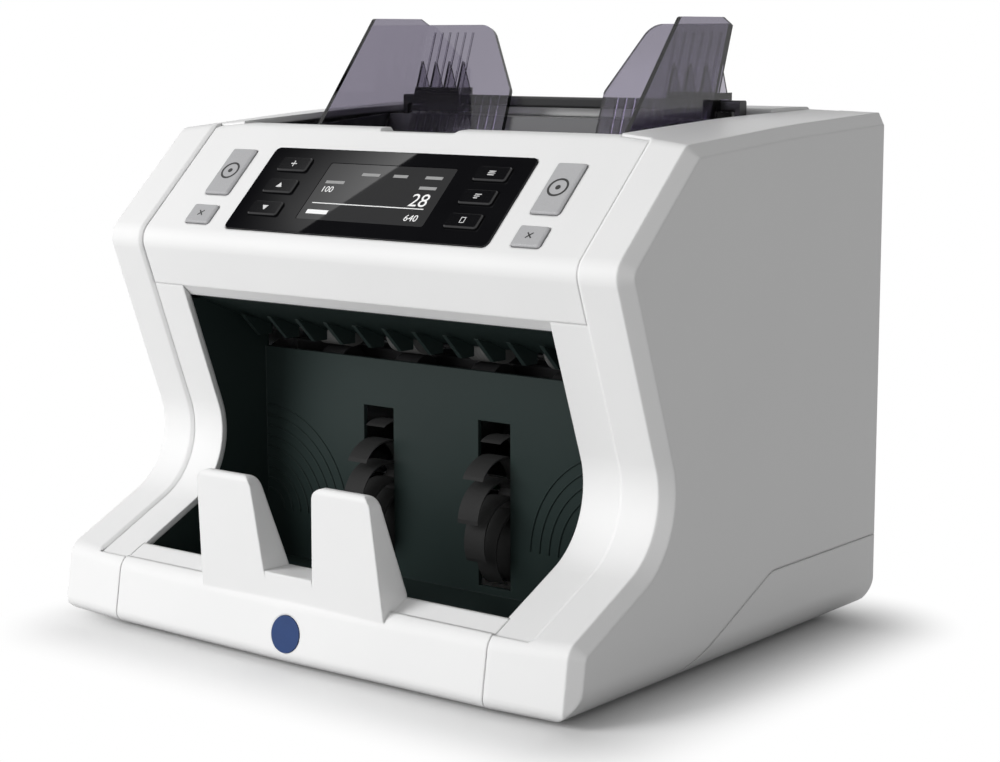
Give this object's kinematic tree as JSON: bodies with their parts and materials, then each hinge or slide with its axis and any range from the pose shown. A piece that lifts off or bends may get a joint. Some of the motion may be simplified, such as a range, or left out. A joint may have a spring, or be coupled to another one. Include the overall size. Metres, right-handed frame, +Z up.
{
  "type": "banknote counting machine",
  "caption": "Desktop banknote counter with a top hopper and sliding guides, a sloped control panel, an open stacker pocket with a pronged tray, and a friction feed with stacker wheels inside.",
  "frame": {"origin": "centre of the footprint, on the floor under the feet", "axes": "+X to the right seen from the front, +Y to the back, +Z up"},
  "size_m": [0.262, 0.2152, 0.2402],
  "materials": {
    "cover_white": "satin moulded plastic",
    "bezel_black": "gloss black plastic",
    "key_silver": "silver-grey plastic",
    "window_dark": "dark display window",
    "badge_blue": "plain blue disc",
    "chute_dark": "dark grey-green plastic",
    "hopper_grey": "grey plastic",
    "guide_smoke": "smoky clear plastic",
    "black_plastic": "black plastic",
    "rubber_black": "black rubber",
    "rubber_grey": "grey roller rubber",
    "steel": "bright steel",
    "zinc_plate": "zinc-plated sheet",
    "shaft_metal": "turned aluminium",
    "board_green": "circuit board",
    "motor_grey": "motor case"
  },
  "bodies": {
    "chassis": {"base_pan": "cover_white", "base_screws": "steel", "control_bezel": "bezel_black", "control_board": "board_green", "data_sockets": "black_plastic", "display_window": "window_dark", "drive_belt": "rubber_black", "drive_motor": "motor_grey", "exit_guide": "chute_dark", "front_fascia": "cover_white", "guide_rail": "black_plastic", "hopper_back_plate": "hopper_grey", "hopper_bed": "hopper_grey", "knob_bridge": "zinc_plate", "left_frame_plate": "zinc_plate", "left_side_cover": "cover_white", "main_board": "board_green", "nose_badge": "badge_blue", "path_guide": "black_plastic", "power_inlet": "black_plastic", "power_supply": "board_green", "rear_panel": "hopper_grey", "right_frame_plate": "zinc_plate", "right_side_cover": "cover_white", "rubber_feet": "rubber_black", "sensor_bar": "black_plastic", "shaft_bearings": "steel", "stacker_belt": "rubber_black", "stacker_chute": "chute_dark", "stacker_motor": "motor_grey", "stacker_tray": "cover_white", "tie_bars": "steel"},
    "feed_roll": {"feed_shaft": "shaft_metal", "feed_rollers": "rubber_grey"},
    "pickup_roll": {"pickup_shaft": "shaft_metal", "pickup_rollers": "rubber_grey"},
    "transport_roll": {"transport_shaft": "shaft_metal", "transport_rollers": "rubber_grey"},
    "pinch_roll": {"pinch_roller": "black_plastic"},
    "drive_rotor": {"drive_motor_pulley": "steel"},
    "stacker_roll": {"stacker_shaft": "shaft_metal", "stacker_wheels": "chute_dark"},
    "stacker_rotor": {"stacker_motor_pulley": "steel"},
    "retard_unit": {"retard_bracket": "zinc_plate", "retard_rollers": "rubber_grey"},
    "knob": {"gap_knob": "black_plastic"},
    "left_hopper_guide": {"left_guide": "guide_smoke"},
    "right_hopper_guide": {"right_guide": "guide_smoke"},
    "door": {"rear_door": "cover_white"},
    "rocker": {"power_rocker": "black_plastic"},
    "clear_key_left_cap": {"clear_key_left": "key_silver"},
    "clear_key_right_cap": {"clear_key_right": "key_silver"},
    "lower_key_left_cap": {"lower_key_left": "bezel_black"},
    "lower_key_right_cap": {"lower_key_right": "bezel_black"},
    "middle_key_left_cap": {"middle_key_left": "bezel_black"},
    "middle_key_right_cap": {"middle_key_right": "bezel_black"},
    "start_key_left_cap": {"start_key_left": "key_silver"},
    "start_key_right_cap": {"start_key_right": "key_silver"},
    "upper_key_left_cap": {"upper_key_left": "bezel_black"},
    "upper_key_right_cap": {"upper_key_right": "bezel_black"}
  },
  "joints": [
    {"name": "feed_spin", "type": "hinge", "parent": "chassis", "child": "feed_roll", "pos_m": [0, 0.02572, 0.12797], "axis": [1, 0, 0], "continuous": true},
    {"name": "pickup_spin", "type": "hinge", "parent": "chassis", "child": "pickup_roll", "pos_m": [0, 0.00517, 0.15544], "axis": [1, 0, 0], "continuous": true},
    {"name": "transport_spin", "type": "hinge", "parent": "chassis", "child": "transport_roll", "pos_m": [0, -0.00698, 0.11647], "axis": [1, 0, 0], "continuous": true},
    {"name": "pinch_spin", "type": "hinge", "parent": "chassis", "child": "pinch_roll", "pos_m": [0, -0.00698, 0.09707], "axis": [1, 0, 0], "continuous": true},
    {"name": "drive_motor_spin", "type": "hinge", "parent": "chassis", "child": "drive_rotor", "pos_m": [0, 0.066, 0.064], "axis": [1, 0, 0], "continuous": true},
    {"name": "stacker_spin", "type": "hinge", "parent": "chassis", "child": "stacker_roll", "pos_m": [0, -0.002, 0.0495], "axis": [1, 0, 0], "continuous": true},
    {"name": "stacker_motor_spin", "type": "hinge", "parent": "chassis", "child": "stacker_rotor", "pos_m": [0, 0.038, 0.038], "axis": [1, 0, 0], "continuous": true},
    {"name": "gap_turn", "type": "hinge", "parent": "chassis", "child": "knob", "pos_m": [0, 0.085, 0.12343], "axis": [0, 1, 0], "range_deg": [-150, 150]},
    {"name": "retard_swing", "type": "hinge", "parent": "chassis", "child": "retard_unit", "pos_m": [0, 0.0652, 0.13943], "axis": [1, 0, 0], "range_deg": [-1, 1]},
    {"name": "left_guide_slide", "type": "slide", "parent": "chassis", "child": "left_hopper_guide", "axis": [1, 0, 0], "range_m": [-0.005, 0.022]},
    {"name": "right_guide_slide", "type": "slide", "parent": "chassis", "child": "right_hopper_guide", "axis": [1, 0, 0], "range_m": [-0.022, 0.005]},
    {"name": "door_hinge", "type": "hinge", "parent": "chassis", "child": "door", "pos_m": [0, 0.1045, 0.08], "axis": [-1, 0, 0], "range_deg": [0, 75]},
    {"name": "power_tip", "type": "hinge", "parent": "chassis", "child": "rocker", "pos_m": [0.042, 0.1035, 0.054], "axis": [1, 0, 0], "range_deg": [0, 14]},
    {"name": "clear_key_left_press", "type": "slide", "parent": "chassis", "child": "clear_key_left_cap", "axis": [0, 0.6884, -0.7254], "range_m": [0, 0.001], "stiffness_N_per_m": 400},
    {"name": "clear_key_right_press", "type": "slide", "parent": "chassis", "child": "clear_key_right_cap", "axis": [0, 0.6884, -0.7254], "range_m": [0, 0.001], "stiffness_N_per_m": 400},
    {"name": "lower_key_left_press", "type": "slide", "parent": "chassis", "child": "lower_key_left_cap", "axis": [0, 0.6884, -0.7254], "range_m": [0, 0.001], "stiffness_N_per_m": 400},
    {"name": "lower_key_right_press", "type": "slide", "parent": "chassis", "child": "lower_key_right_cap", "axis": [0, 0.6884, -0.7254], "range_m": [0, 0.001], "stiffness_N_per_m": 400},
    {"name": "middle_key_left_press", "type": "slide", "parent": "chassis", "child": "middle_key_left_cap", "axis": [0, 0.6884, -0.7254], "range_m": [0, 0.001], "stiffness_N_per_m": 400},
    {"name": "middle_key_right_press", "type": "slide", "parent": "chassis", "child": "middle_key_right_cap", "axis": [0, 0.6884, -0.7254], "range_m": [0, 0.001], "stiffness_N_per_m": 400},
    {"name": "start_key_left_press", "type": "slide", "parent": "chassis", "child": "start_key_left_cap", "axis": [0, 0.6884, -0.7254], "range_m": [0, 0.001], "stiffness_N_per_m": 400},
    {"name": "start_key_right_press", "type": "slide", "parent": "chassis", "child": "start_key_right_cap", "axis": [0, 0.6884, -0.7254], "range_m": [0, 0.001], "stiffness_N_per_m": 400},
    {"name": "upper_key_left_press", "type": "slide", "parent": "chassis", "child": "upper_key_left_cap", "axis": [0, 0.6884, -0.7254], "range_m": [0, 0.001], "stiffness_N_per_m": 400},
    {"name": "upper_key_right_press", "type": "slide", "parent": "chassis", "child": "upper_key_right_cap", "axis": [0, 0.6884, -0.7254], "range_m": [0, 0.001], "stiffness_N_per_m": 400}
  ],
  "couplings": [
    {"joint": "pickup_spin", "follows": "feed_spin", "ratio": 1.6},
    {"joint": "transport_spin", "follows": "feed_spin", "ratio": 1.3333},
    {"joint": "pinch_spin", "follows": "feed_spin", "ratio": -1.6471},
    {"joint": "drive_motor_spin", "follows": "feed_spin", "ratio": 1.7778},
    {"joint": "stacker_motor_spin", "follows": "stacker_spin", "ratio": 2},
    {"joint": "retard_swing", "follows": "gap_turn", "ratio": 0.0064}
  ]
}
